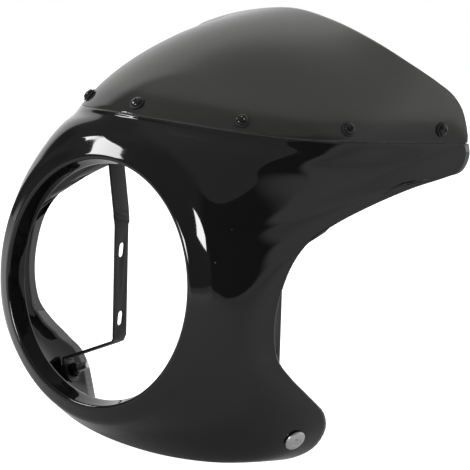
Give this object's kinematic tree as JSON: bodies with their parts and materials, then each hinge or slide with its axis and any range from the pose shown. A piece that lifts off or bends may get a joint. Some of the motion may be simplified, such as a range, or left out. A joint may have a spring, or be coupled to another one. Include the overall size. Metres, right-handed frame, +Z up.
{
  "type": "headlight cowl",
  "caption": "moulded motorcycle cowl that wraps a round headlight, with a smoked screen screwed to its sunk upper flange and two bent steel straps with slots for fork clamps",
  "frame": {"origin": "the middle of the lamp opening, in the plane of its front lip", "axes": "X across the bike, out through the slots of the right strap; -Y forward out of the lamp opening; Z up"},
  "size_m": [0.2684, 0.2685, 0.3429],
  "materials": {
    "shell": "glossy black moulding, clear lacquer",
    "screen": "dark smoked acrylic, polished",
    "black_screw": "black oxide, slightly glossy",
    "soft_washer": "matt black rubber",
    "strap": "satin black powder coat",
    "bright_bolt": "zinc-plated steel, lightly brushed"
  },
  "bodies": {
    "root": {"fairing_shell": "shell", "windscreen": "screen", "screen_screws": "black_screw", "screen_washers": "soft_washer", "screen_nuts": "black_screw", "strap_left": "strap", "strap_right": "strap", "ear_bolts": "bright_bolt", "ear_bushes": "soft_washer", "ear_nuts": "black_screw"}
  },
  "joints": []
}
